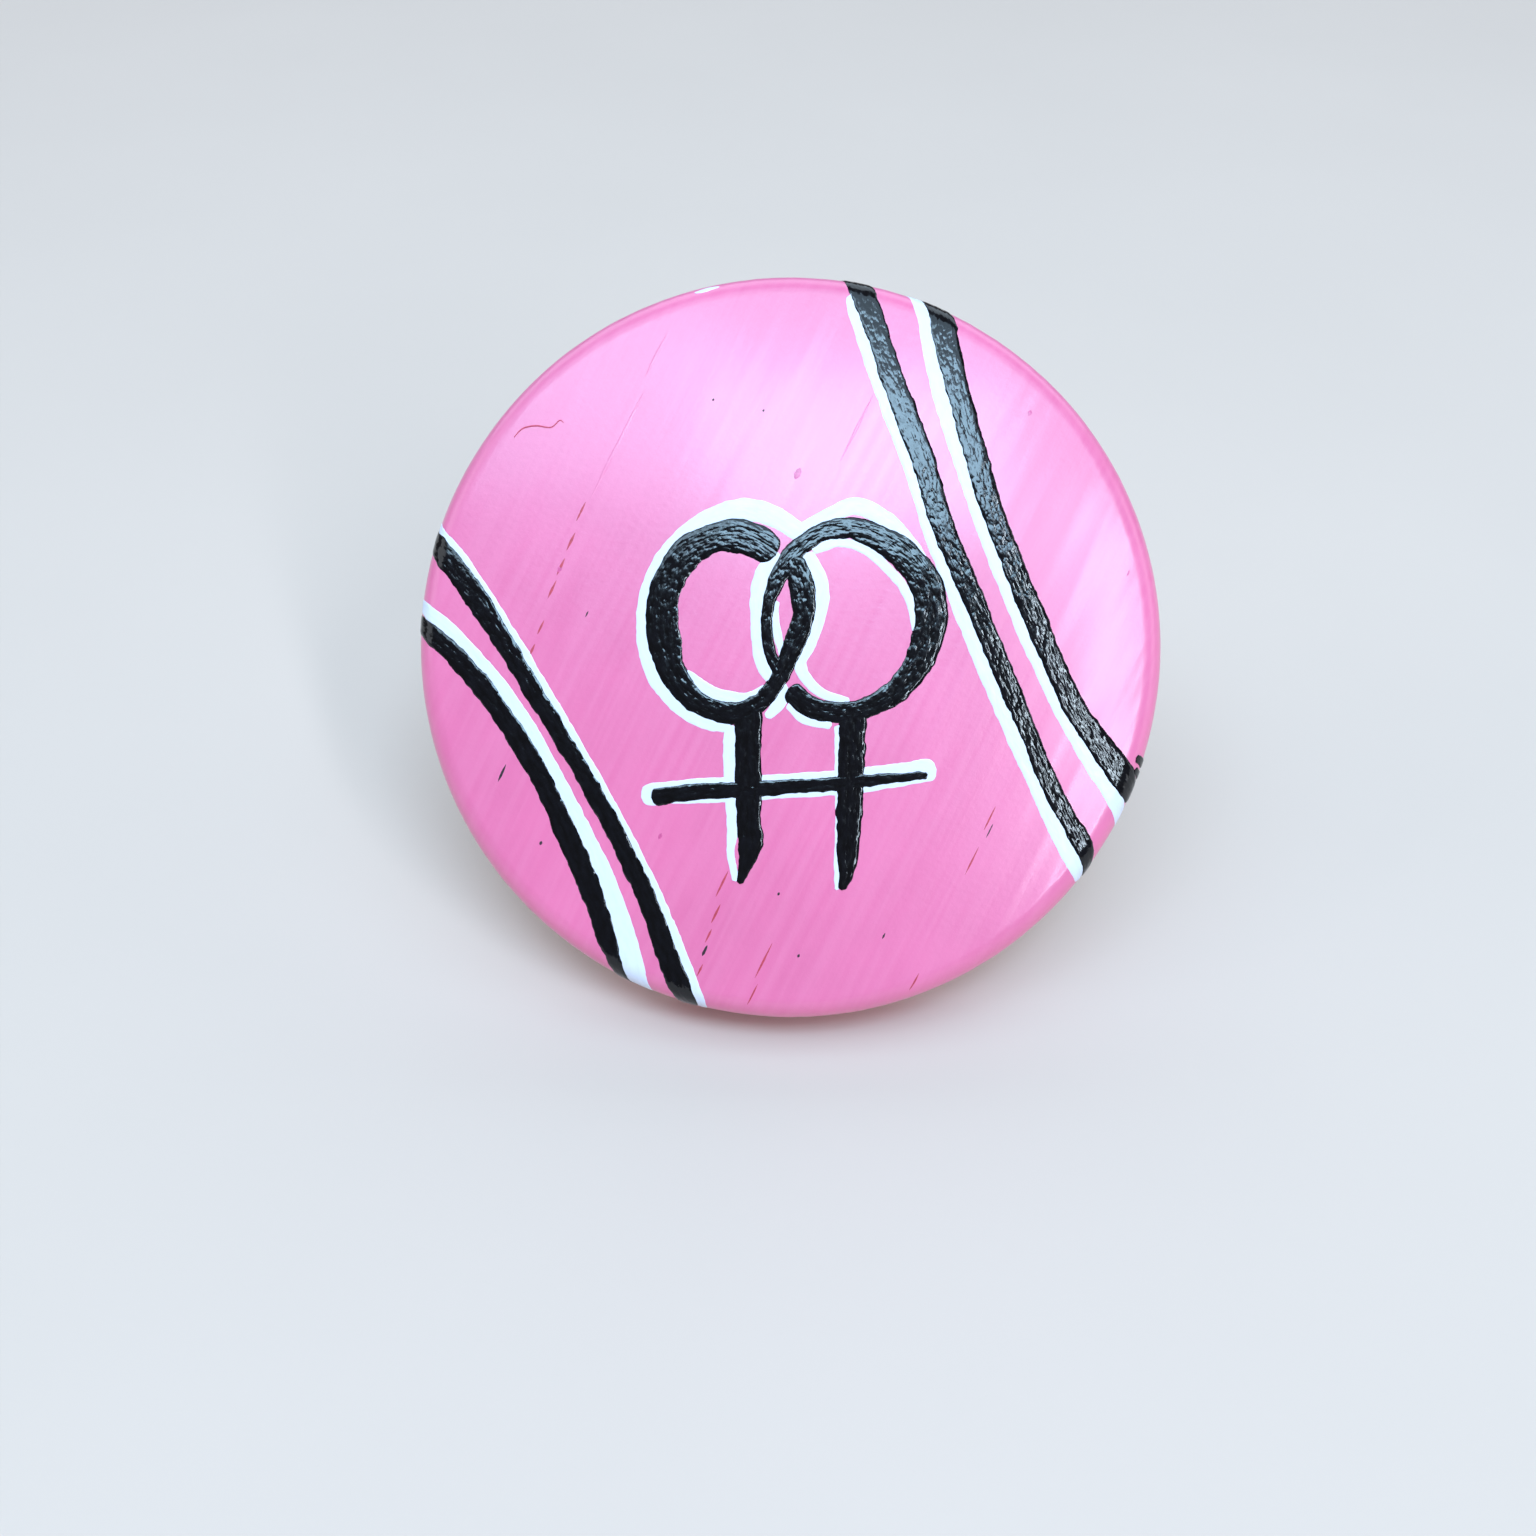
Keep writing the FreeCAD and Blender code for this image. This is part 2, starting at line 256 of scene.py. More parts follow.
def coat_relief(x, y):
    """Height of the dried pink paint over its true outline: bristle tracks, which are noise
    drawn out twenty times along the grain, and a slow swell where the paint was thick."""
    along, across = grain_axes(x, y)
    relief = settings("coat").brush_relief
    tracks = smooth_noise(across * 2.4 + 31, along * 0.12 + 7, 11) - 0.5
    thin_tracks = smooth_noise(across * 4.1 + 3, along * 0.2 + 19, 12) - 0.5
    swell = smooth_noise(x * 0.22 + 40, y * 0.22 + 40, 13) - 0.5
    return relief * (tracks + 0.45 * thin_tracks) + 2 * relief * swell


def on_coat(x, y, height):
    """Local places a height above the painted surface. (x, y) are laid off from the middle
    of the face and wrap over the edge, so that their distance from it is the reach."""
    reach = np.hypot(x, y)
    safe = np.maximum(reach, 1e-9)
    radius, level, out, front, _ = side_profile(reach)
    lift = height + coat_relief(x, y)
    ring = (radius + out * lift) / safe
    ring = np.where(reach < 1e-6, 1.0, ring)
    return np.stack((x * ring, y * ring, level + front * lift), axis=-1)


def mesh_piece(name, places, faces, chart=None):
    """A mesh object from local places, faces as rows of indices (three or four), and an
    optional chart, the surface's own (u, v) in mm at each place."""
    mesh = bpy.data.meshes.new(name)
    groups = [group for group in faces if len(group)]
    corners = np.concatenate([group.ravel() for group in groups])
    sides = np.concatenate([np.full(len(group), group.shape[1]) for group in groups])
    mesh.vertices.add(len(places))
    mesh.vertices.foreach_set("co", to_world(places).astype(np.float32).ravel())
    mesh.loops.add(len(corners))
    mesh.loops.foreach_set("vertex_index", corners.astype(np.int32))
    mesh.polygons.add(len(sides))
    starts = np.concatenate(([0], np.cumsum(sides)[:-1]))
    mesh.polygons.foreach_set("loop_start", starts.astype(np.int32))
    mesh.polygons.foreach_set("use_smooth", np.ones(len(sides), bool))
    if chart is not None:
        layer = mesh.uv_layers.new(name="chart")
        layer.data.foreach_set("uv", chart[corners].astype(np.float32).ravel())
    mesh.update(calc_edges=True)
    mesh.validate()
    piece = bpy.data.objects.new(name, mesh)
    bpy.context.scene.collection.objects.link(piece)
    return piece


def grid_faces(rows, columns, start=0, close_columns=False):
    """Faces of a grid of rows by columns of vertices, four corners each."""
    index = start + np.arange(rows * columns).reshape(rows, columns)
    if close_columns:
        index = np.concatenate((index, index[:, :1]), axis=1)
    return np.stack(
        (index[:-1, :-1], index[:-1, 1:], index[1:, 1:], index[1:, :-1]), axis=-1
    ).reshape(-1, 4)


def finish_piece(piece, material, body, slot, *replaced):
    """Gives a piece its material and its body, and hides the CAD nodes it stands for; the slot
    argument is not used.
    """
    piece.data.materials.append(material)
    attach(piece, body)
    if replaced:
        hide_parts(*replaced)
    return piece


# ---- materials ----------------------------------------------------------------


class Shader:
    """Short way to build a node material: nodes are added, linked and set in one call."""

    def __init__(self, name):
        self.material = bpy.data.materials.new(name)
        self.material.use_nodes = True
        self.tree = self.material.node_tree
        self.surface = self.tree.nodes["Principled BSDF"]

    def node(self, kind, links=None, **values):
        """A node of a kind, with its own values and its inputs linked or set by name."""
        made = self.tree.nodes.new(kind)
        for key, value in values.items():
            setattr(made, key, value)
        for key, value in (links or {}).items():
            if isinstance(value, bpy.types.NodeSocket):
                self.tree.links.new(value, made.inputs[key])
            else:
                made.inputs[key].default_value = value
        return made

    def local(self):
        """Object coordinates turned into the badge's own millimetres."""
        spot = self.node("ShaderNodeTexCoord").outputs["Object"]
        return self.node("ShaderNodeMapping", {
            "Vector": spot, "Location": tuple(CENTRE), "Rotation": (TURN, 0, 0),
            "Scale": (MM, MM, MM)}, vector_type="TEXTURE").outputs["Vector"]

    def chart(self, stretch=(1, 1, 1)):
        """The piece's own chart, stretched."""
        spot = self.node("ShaderNodeUVMap", uv_map="chart").outputs["UV"]
        return self.node("ShaderNodeMapping", {"Vector": spot, "Scale": stretch}).outputs["Vector"]

    def turned(self, spot, angle, stretch):
        """A place turned about z and stretched, for patterns drawn out along one direction."""
        flat = self.node("ShaderNodeMapping", {"Vector": spot, "Rotation": (0, 0, -angle)})
        return self.node("ShaderNodeMapping", {
            "Vector": flat.outputs["Vector"], "Scale": stretch}).outputs["Vector"]

    def noise(self, spot, scale, detail=3.0, roughness=0.55, distortion=0.0):
        """Noise from 0 to 1 at a place."""
        return self.node("ShaderNodeTexNoise", {
            "Vector": spot, "Scale": scale, "Detail": detail, "Roughness": roughness,
            "Distortion": distortion}).outputs["Fac"]

    def remap(self, value, low, high, to_low=0.0, to_high=1.0):
        """A value moved linearly from one range to another and held at its ends."""
        return self.node("ShaderNodeMapRange", {
            "Value": value, "From Min": low, "From Max": high, "To Min": to_low,
            "To Max": to_high}).outputs["Result"]

    def mix(self, share, first, second):
        """Two colours mixed by a share."""
        made = self.node("ShaderNodeMix", data_type="RGBA")
        for socket, value in (("A_Color", first), ("B_Color", second), ("Factor_Float", share)):
            target = next(s for s in made.inputs if s.identifier == socket)
            if isinstance(value, bpy.types.NodeSocket):
                self.tree.links.new(value, target)
            else:
                target.default_value = value if socket == "Factor_Float" else (*value[:3], 1)
        return next(s for s in made.outputs if s.identifier == "Result_Color")

    def bump(self, height, depth, under=None):
        """Bump of a depth in mm, on top of another bump if one is given."""
        links = {"Height": height, "Distance": depth * MM}
        if under is not None:
            links["Normal"] = under
        return self.node("ShaderNodeBump", links).outputs["Normal"]

    def set(self, **inputs):
        """Inputs of the surface shader, by name with underscores for spaces."""
        for key, value in inputs.items():
            socket = self.surface.inputs[key.replace("_", " ")]
            if isinstance(value, bpy.types.NodeSocket):
                self.tree.links.new(value, socket)
            elif socket.type == "RGBA":
                socket.default_value = (*value[:3], 1)
            else:
                socket.default_value = value


def shade(colour, factor):
    """A colour made lighter or darker by a factor."""
    return tuple(min(1.0, channel * factor) for channel in colour)


def pink_paint():
    """Brushed gloss enamel: bristle tracks along the grain, cloudy depth of colour."""
    coat = settings("coat")
    shader = Shader("pink_paint")
    spot = shader.local()
    tracks = shader.turned(spot, coat.grain_angle, (0.16, 3.4, 0.6))
    hair = shader.turned(spot, coat.grain_angle, (0.3, 11.0, 1.0))
    brushed = shader.noise(tracks, 1.0, 3.0, 0.5)
    hairs = shader.noise(hair, 1.0, 2.0, 0.6)
    cloud = shader.noise(spot, 0.16, 4.0, 0.6)
    mottle = shader.remap(cloud, 0.32, 0.68)
    streak = shader.remap(brushed, 0.35, 0.65)
    base = shader.mix(mottle, shade(coat.colour, 0.95), shade(coat.colour, 1.05))
    base = shader.mix(shader.remap(streak, 0, 1, 0, 0.17), base, (0.84, 0.25, 0.42))
    rough = shader.remap(brushed, 0.3, 0.7, coat.roughness - 0.05, coat.roughness + 0.07)
    relief = shader.bump(brushed, 0.010)
    relief = shader.bump(hairs, 0.0015, relief)
    relief = shader.bump(shader.noise(spot, 4.0, 3.0, 0.6), 0.009, relief)
    shader.set(Base_Color=base, Roughness=rough, Normal=relief, IOR=1.5)
    shader.set(Coat_Weight=0.35, Coat_Roughness=0.16)
    return shader.material


def line_paint(name, colour, light, roughness, tracks_depth, lumps_depth):
    """Gloss paint laid on with a small brush: short tracks along the line and small lumps."""
    shader = Shader(name)
    tracks = shader.noise(shader.chart((1.7, 5.5, 1.0)), 1.0, 1.5, 0.5)
    lumps = shader.noise(shader.chart((3.6, 5.0, 1.0)), 1.0, 1.0, 0.5)
    base = shader.mix(shader.remap(tracks, 0.35, 0.75), colour, light)
    rough = shader.remap(lumps, 0.3, 0.7, roughness - 0.06, roughness + 0.08)
    relief = shader.bump(tracks, tracks_depth)
    relief = shader.bump(lumps, lumps_depth, relief)
    shader.set(Base_Color=base, Roughness=rough, Normal=relief, IOR=1.45)
    return shader.material


def bare_wood():
    """Sealed ring-porous hardwood: wavy growth bands, long fibres and open pores."""
    back = settings("back")
    coat = settings("coat")
    shader = Shader("bare_wood")
    spot = shader.local()
    grain = shader.turned(spot, coat.grain_angle, (0.05, 0.62, 0.3))
    wander = shader.noise(grain, 1.6, 2.0, 0.5)
    rings = shader.node("ShaderNodeTexWave", {
        "Vector": grain, "Scale": 0.8, "Distortion": 3.2, "Detail": 2.0, "Detail Scale": 1.2,
    }, wave_type="BANDS", bands_direction="Y", wave_profile="SAW").outputs["Fac"]
    fibre = shader.noise(shader.turned(spot, coat.grain_angle, (0.35, 9.0, 3.0)), 1.0, 3.0, 0.6)
    pores = shader.noise(shader.turned(spot, coat.grain_angle, (0.9, 7.5, 4.0)), 1.0, 1.0, 0.4)
    open_pore = shader.remap(pores, 0.66, 0.72)
    base = shader.mix(shader.remap(rings, 0, 1), shade(back.wood, 1.12), shade(back.wood, 0.72))
    base = shader.mix(shader.remap(wander, 0.3, 0.7, 0, 0.5), base, (0.62, 0.40, 0.20))
    base = shader.mix(shader.remap(fibre, 0.35, 0.75, 0, 0.55), base, shade(back.wood, 0.58))
    base = shader.mix(open_pore, base, shade(back.wood, 0.22))
    rough = shader.remap(fibre, 0.3, 0.7, 0.42, 0.6)
    relief = shader.bump(fibre, 0.02)
    relief = shader.bump(shader.remap(open_pore, 0, 1, 1, 0), 0.06, relief)
    shader.set(Base_Color=base, Roughness=rough, Normal=relief)
    return shader.material


def worn_metal(name, colour, tarnish, roughness, turned_rings):
    """Plated or bright sheet metal: drawing or turning lines, tumbling scuffs, dull patches."""
    shader = Shader(name)
    spot = shader.local()
    patches = shader.noise(spot, 0.55, 4.0, 0.6)
    scuffs = shader.noise(shader.turned(spot, 0.6, (1.2, 22.0, 6.0)), 1.0, 2.0, 0.6)
    cross = shader.noise(shader.turned(spot, -0.9, (1.0, 18.0, 5.0)), 1.0, 2.0, 0.6)
    base = shader.mix(shader.remap(patches, 0.45, 0.75, 0, 0.6), colour, tarnish)
    rough = shader.remap(patches, 0.3, 0.75, roughness - 0.05, roughness + 0.16)
    relief = shader.bump(scuffs, 0.003)
    relief = shader.bump(cross, 0.002, relief)
    if turned_rings:
        rings = shader.node("ShaderNodeTexWave", {
            "Vector": spot, "Scale": 5.0, "Distortion": 0.6, "Detail": 2.0,
        }, wave_type="RINGS", rings_direction="Z").outputs["Fac"]
        relief = shader.bump(rings, 0.002, relief)
    shader.set(Base_Color=base, Metallic=1.0, Roughness=rough, Normal=relief)
    return shader.material


def set_glue():
    """Two-part glue, yellowish and half clear, with small bubbles in it."""
    back = settings("back")
    shader = Shader("set_glue")
    spot = shader.local()
    bubbles = shader.node("ShaderNodeTexVoronoi", {"Vector": spot, "Scale": 2.6}).outputs[
        "Distance"]
    bubble = shader.remap(bubbles, 0.0, 0.16, 1.0, 0.0)
    cloud = shader.noise(spot, 0.5, 3.0, 0.5)
    base = shader.mix(shader.remap(cloud, 0.3, 0.7), shade(back.glue, 0.86), back.glue)
    base = shader.mix(bubble, base, (0.93, 0.88, 0.72))
    relief = shader.bump(shader.noise(spot, 1.1, 2.0, 0.5), 0.05)
    shader.set(Base_Color=base, Roughness=0.12, Normal=relief, IOR=1.5)
    shader.set(Transmission_Weight=0.35, Subsurface_Weight=0.15)
    return shader.material


def plain_mark(name, colour, roughness):
    """Small marks in the paint: an uneven colour."""
    shader = Shader(name)
    grain = shader.noise(shader.local(), 9.0, 2.0, 0.6)
    base = shader.mix(grain, shade(colour, 0.6), shade(colour, 1.3))
    shader.set(Base_Color=base, Roughness=roughness)
    return shader.material


# ---- the painted disc ---------------------------------------------------------


def disc_grid(rings):
    """A square grid of places folded onto a disc so that each square ring becomes a circle:
    the larger of |a| and |b| is the distance from the middle, and the other one over it,
    times 45 degrees, is the angle from that side's middle."""
    line = np.linspace(-1, 1, 2 * rings + 1)
    a, b = np.meshgrid(line, line, indexing="ij")
    beside = np.abs(a) >= np.abs(b)
    ring = np.where(beside, a, b)
    safe = np.where(ring == 0, 1, ring)
    turn = np.where(beside, np.pi / 4 * b / safe, np.pi / 2 - np.pi / 4 * a / safe)
    return ring * np.cos(turn), ring * np.sin(turn)


def spread_reach(share, bends, end):
    """Reach at each share of the way out, with rings packed three times closer in the
    rounded edges than on the face and the side."""
    stops = np.array([0.0, bends[0] - 0.3, bends[1] + 0.15, bends[2] - 0.1, bends[3] + 0.1, end])
    weight = np.diff(stops) * np.array([1.0, 3.0, 1.0, 3.0, 2.0])
    shares = np.concatenate(([0.0], np.cumsum(weight))) / weight.sum()
    return np.interp(share, shares, stops)


def lap_width(angle):
    """How far the coat laps onto the back at each angle, in mm: a broad wave and a finer one
    along the rim, both eased to a middle value where the angle starts and ends."""
    broad = smooth_noise(angle * 14 / math.pi + 40, np.full_like(angle, 3.5), 21)
    fine = smooth_noise(angle * 30 / math.pi + 70, np.full_like(angle, 8.5), 22)
    middle = 0.6
    ease = np.clip((np.pi - np.abs(angle)) / 0.25, 0, 1)
    return 0.35 + 0.55 * (middle + (broad + 0.35 * fine - middle) * ease)


def build_coat():
    """Pink coat: the side profile turned about the axis on a folded square grid, with the
    brushed relief along its normals. Its outer ring laps onto the back in a wavy line and
    ends just inside the wood."""
    coat = settings("coat")
    x, y = disc_grid(coat.rings)
    share = np.hypot(x, y)
    bends = side_profile(np.zeros(1))[4]
    back_start = bends[3]
    reach = spread_reach(share, bends, back_start + 1.0)
    past = np.clip(reach - back_start, 0, None)
    reach = np.minimum(reach, back_start) + past * lap_width(np.arctan2(y, x))
    safe = np.where(share == 0, 1, share)
    px = reach * x / safe
    py = reach * y / safe
    lap_thickness = 0.03
    tuck_depth = 0.06
    tuck_start = 0.992
    tuck = np.clip((share - tuck_start) / (1 - tuck_start), 0, 1)
    on_back = np.clip(past / 0.1, 0, 1)
    height = lap_thickness * on_back * (1 - tuck) - tuck_depth * tuck
    places = on_coat(px, py, height).reshape(-1, 3)
    side = 2 * coat.rings + 1
    piece = mesh_piece("paint_coat_brushed", places, [grid_faces(side, side)[:, ::-1]])
    return finish_piece(piece, pink_paint(), "badge", "pink_paint", "paint_coat")


def lathe(outline, segments, swell=None):
    """Local places and faces of an outline of (radius, z) points turned about the axis. An
    end on the axis becomes one vertex with a fan of triangles. swell, if given, is a factor
    on the radius for each point and segment."""
    outline = np.asarray(outline, float)
    turn = np.linspace(0, 2 * np.pi, segments, endpoint=False)
    radius = outline[:, :1] * np.ones_like(turn)[None, :]
    if swell is not None:
        radius = radius * swell
    level = outline[:, 1:2] * np.ones_like(turn)[None, :]
    rings = np.stack((radius * np.cos(turn), radius * np.sin(turn), level), axis=-1)
    first_pole = outline[0, 0] < 1e-9
    last_pole = outline[-1, 0] < 1e-9
    body = rings[int(first_pole):len(outline) - int(last_pole)]
    rows = len(body)
    places = [body.reshape(-1, 3)]
    faces = [grid_faces(rows, segments, 0, True)]
    around = np.arange(segments)
    following = (around + 1) % segments
    count = rows * segments
    if first_pole:
        places.append(np.array([[0, 0, outline[0, 1]]]))
        faces.append(np.stack((following, around, np.full(segments, count)), axis=-1))
        count += 1
    if last_pole:
        places.append(np.array([[0, 0, outline[-1, 1]]]))
        last = (rows - 1) * segments
        faces.append(np.stack((last + around, last + following, np.full(segments, count)), -1))
    return np.concatenate(places), faces


def build_wood():
    """Wooden blank: flat back with softened edge and domed front, turned about the axis;
    the front lies just under the coat."""
    coat = settings("coat")
    skin = DISC_RADIUS - WOOD_RADIUS
    steps = np.linspace(0, 1, 90)
    bends = side_profile(np.zeros(1))[4]
    radius, level, out, front, _ = side_profile(steps * bends[3])
    shell = np.stack((radius - out * skin, level - front * skin), axis=-1)
    back_rings = np.linspace(DISC_RADIUS - coat.back_radius, 0, 40)
    back = np.stack((back_rings, np.zeros(40)), axis=-1)
    places, faces = lathe(np.concatenate((shell[:-1], back)), 180)
    piece = mesh_piece("wooden_disc_grained", places, faces)
    return finish_piece(piece, bare_wood(), "badge", "bare_wood", "wooden_disc")


# Open pores in the paint: x, y, length and width in mm, all lying along the grain. Some
# are dark, and in others the red-brown wood shows through.
DARK_PORES = (
    (-11.55, -5.1, 0.85, 0.15), (-3.45, -12.2, 0.55, 0.16),
    (-3.1, 9.75, 0.13, 0.11), (-8.1, 1.2, 0.3, 0.07), (-6.4, -9.2, 0.4, 0.07),
    (0.3, -12.4, 0.18, 0.12), (-10.0, -7.9, 0.2, 0.14), (3.7, -11.6, 0.3, 0.09),
    (-1.1, 9.3, 0.12, 0.1), (7.9, -7.4, 0.7, 0.07), (-0.5, -9.9, 0.16, 0.12),
)
RED_PORES = (
    (-8.35, 5.3, 0.95, 0.11), (-8.75, 4.1, 0.9, 0.12), (-9.15, 3.1, 0.85, 0.13),
    (-9.5, 2.2, 0.9, 0.13), (-9.95, 0.7, 0.7, 0.11), (-10.3, -0.2, 0.6, 0.11),
    (-2.75, -9.5, 1.3, 0.12), (-3.0, -10.7, 0.95, 0.11), (-3.3, -11.6, 0.7, 0.1),
    (-3.65, -13.0, 0.6, 0.09), (-1.1, -12.6, 1.8, 0.09), (-1.55, -14.0, 1.1, 0.09),
    (4.95, -13.5, 0.95, 0.09), (7.9, -6.9, 1.2, 0.09), (7.2, -8.6, 1.4, 0.08),
    (-10.6, -1.6, 0.4, 0.09), (-1.9, -8.6, 0.6, 0.08),
)
# Smudges where a little of the under-colour was picked up: x, y, length and width in mm.
SMUDGES = (
    (0.25, 6.75, 0.55, 0.32), (9.55, 9.3, 0.26, 0.22), (13.5, 2.9, 0.28, 0.1),
    (-9.2, 3.0, 0.4, 0.2), (6.9, 6.4, 0.5, 0.09), (-5.2, -7.6, 0.3, 0.2),
)


# Grain that stands up under the paint, in line with the open pores.
RIDGES = ((-6.9, 8.0, 5.6, 0.16), (-5.4, 11.6, 2.2, 0.12), (2.6, 8.6, 3.4, 0.12))


def pore_patches(pores, seed, lift=0.012):
    """Lens-shaped patches lying on the coat: length runs along the grain, half width is
    (1 - s^2) times a slowly varying share, height is (1 - t^2)(1 - s^4) of the lift, and the
    edges dip under the paint."""
    angle = settings("coat").grain_angle
    data = np.array(pores)
    s = np.linspace(-1, 1, 15)[None, :, None]
    t = np.linspace(-1, 1, 5)[None, None, :]
    x, y, length, width = (data[:, i][:, None, None] for i in range(4))
    ragged = 0.75 + 0.5 * smooth_noise(s * 3 + 10 * x + 60, 5 * y + 60 + 0 * s, seed)
    along = s * length / 2 + 0 * t
    across = t * width / 2 * (1 - s * s) * ragged
    px = x + along * math.cos(angle) - across * math.sin(angle)
    py = y + along * math.sin(angle) + across * math.cos(angle)
    height = lift * (1 - t * t) * (1 - s ** 4) - 0.004 + 0 * px
    places = on_coat(px, py, height)
    faces = np.concatenate([grid_faces(15, 5, i * 75) for i in range(len(data))])
    return places.reshape(-1, 3), [faces[:, ::-1]]


def build_pores():
    """Open pores of the wood, dark and red-brown, showing through the pink paint."""
    dark = mesh_piece("pores_dark", *pore_patches(DARK_PORES, 31))
    finish_piece(dark, plain_mark("pore_dark", (0.03, 0.012, 0.02), 0.5), "badge", "bare_wood")
    red = mesh_piece("pores_red", *pore_patches(RED_PORES, 32))
    finish_piece(red, plain_mark("pore_red", (0.50, 0.045, 0.075), 0.5), "badge", "bare_wood")
    smudge = mesh_piece("smudges", *pore_patches(SMUDGES, 33))
    finish_piece(smudge, plain_mark("smudge", (0.66, 0.10, 0.27), 0.3), "badge", "pink_paint")
    ridges = mesh_piece("raised_grain", *pore_patches(RIDGES, 34, 0.02))
    finish_piece(ridges, pink_paint(), "badge", "pink_paint")


# ---- brush lines --------------------------------------------------------------
# Each line is a list of (x, y, width) in mm where the brush went; places further from the
# middle than the face reaches wrap over its edge.

WHITE_LINES = (
    # a nick at the top edge
    ((-3.9, 14.3, 0.15), (-3.4, 14.5, 0.35), (-2.9, 14.6, 0.12)),
    # round the left ring
    ((0.45, 4.3, 0.8), (-0.7, 5.05, 0.9), (-2.0, 5.3, 0.95), (-3.4, 4.8, 0.9),
     (-4.65, 3.8, 0.9), (-5.45, 2.4, 0.85), (-5.75, 0.8, 0.85), (-5.5, -0.8, 0.85),
     (-4.75, -2.0, 0.85), (-3.7, -2.9, 0.75), (-2.4, -3.3, 0.5)),
    ((-4.2, -1.1, 0.35), (-3.1, -1.9, 0.55), (-1.9, -2.15, 0.5), (-0.9, -1.75, 0.4)),
    ((0.6, 3.6, 0.6), (1.15, 2.5, 0.65), (1.15, 1.4, 0.6), (0.8, 0.15, 0.55), (0.35, -0.7, 0.5),
     (0.6, -1.4, 0.5), (1.3, -2.0, 0.42), (2.3, -2.25, 0.2)),
    # round the right ring
    ((0.4, 4.4, 0.8), (1.55, 5.1, 0.7), (2.6, 5.45, 0.75), (3.7, 4.95, 0.75), (4.65, 4.1, 0.6),
     (5.35, 3.1, 0.35)),
    ((0.8, 3.75, 0.5), (1.9, 4.0, 0.4), (2.9, 3.75, 0.4), (3.9, 2.9, 0.42), (4.6, 1.9, 0.38),
     (4.9, 0.5, 0.25)),
    ((-0.5, 3.6, 0.6), (-1.25, 2.4, 0.65), (-1.3, -0.15, 0.55), (-0.95, -1.2, 0.5),
     (-0.35, -1.75, 0.5), (-0.45, -2.3, 0.6), (-1.0, -2.9, 0.35)),
    ((-0.58, 1.7, 0.2), (-0.62, 0.9, 0.35), (-0.3, -0.7, 0.35)),
    ((-0.1, -2.3, 0.5), (0.55, -2.95, 0.5), (1.6, -3.2, 0.4)),
    # beside the stems and round the bar
    ((-2.35, -3.2, 0.65), (-2.4, -4.9, 0.6), (-2.3, -6.8, 0.55), (-2.4, -8.2, 0.35),
     (-2.2, -9.4, 0.25)),
    ((1.85, -3.2, 0.3), (1.87, -7.6, 0.28), (1.8, -9.75, 0.22)),
    ((-5.95, -6.05, 0.75), (-4.7, -5.85, 1.0), (1.5, -5.5, 1.05), (5.75, -4.95, 0.95)),
    # beside the stripes on the right
    ((2.4, 14.1, 0.5), (2.72, 13.0, 0.7), (3.67, 10.0, 0.7), (4.8, 7.0, 0.75),
     (5.75, 4.0, 0.75), (8.15, -2.0, 0.75), (11.0, -8.0, 0.8), (11.9, -9.6, 0.5)),
    ((5.0, 15.1, 0.7), (5.45, 13.2, 0.85), (6.0, 10.0, 0.8), (7.95, 4.0, 0.85),
     (10.5, -2.0, 0.75), (13.3, -6.6, 0.8), (14.1, -7.5, 0.5)),
    # beside the stripes on the left
    ((-14.6, 5.1, 0.3), (-12.9, 3.0, 0.62), (-9.17, -3.0, 0.65), (-5.9, -9.0, 0.65),
     (-4.05, -13.6, 0.75), (-3.7, -15.1, 0.6)),
    ((-15.4, 1.8, 0.6), (-14.6, 1.35, 0.65), (-13.15, 0.1, 0.65), (-10.7, -3.0, 0.72),
     (-7.6, -9.0, 0.9), (-6.6, -12.2, 1.15), (-6.35, -13.8, 1.25), (-6.25, -15.2, 0.9)),
)
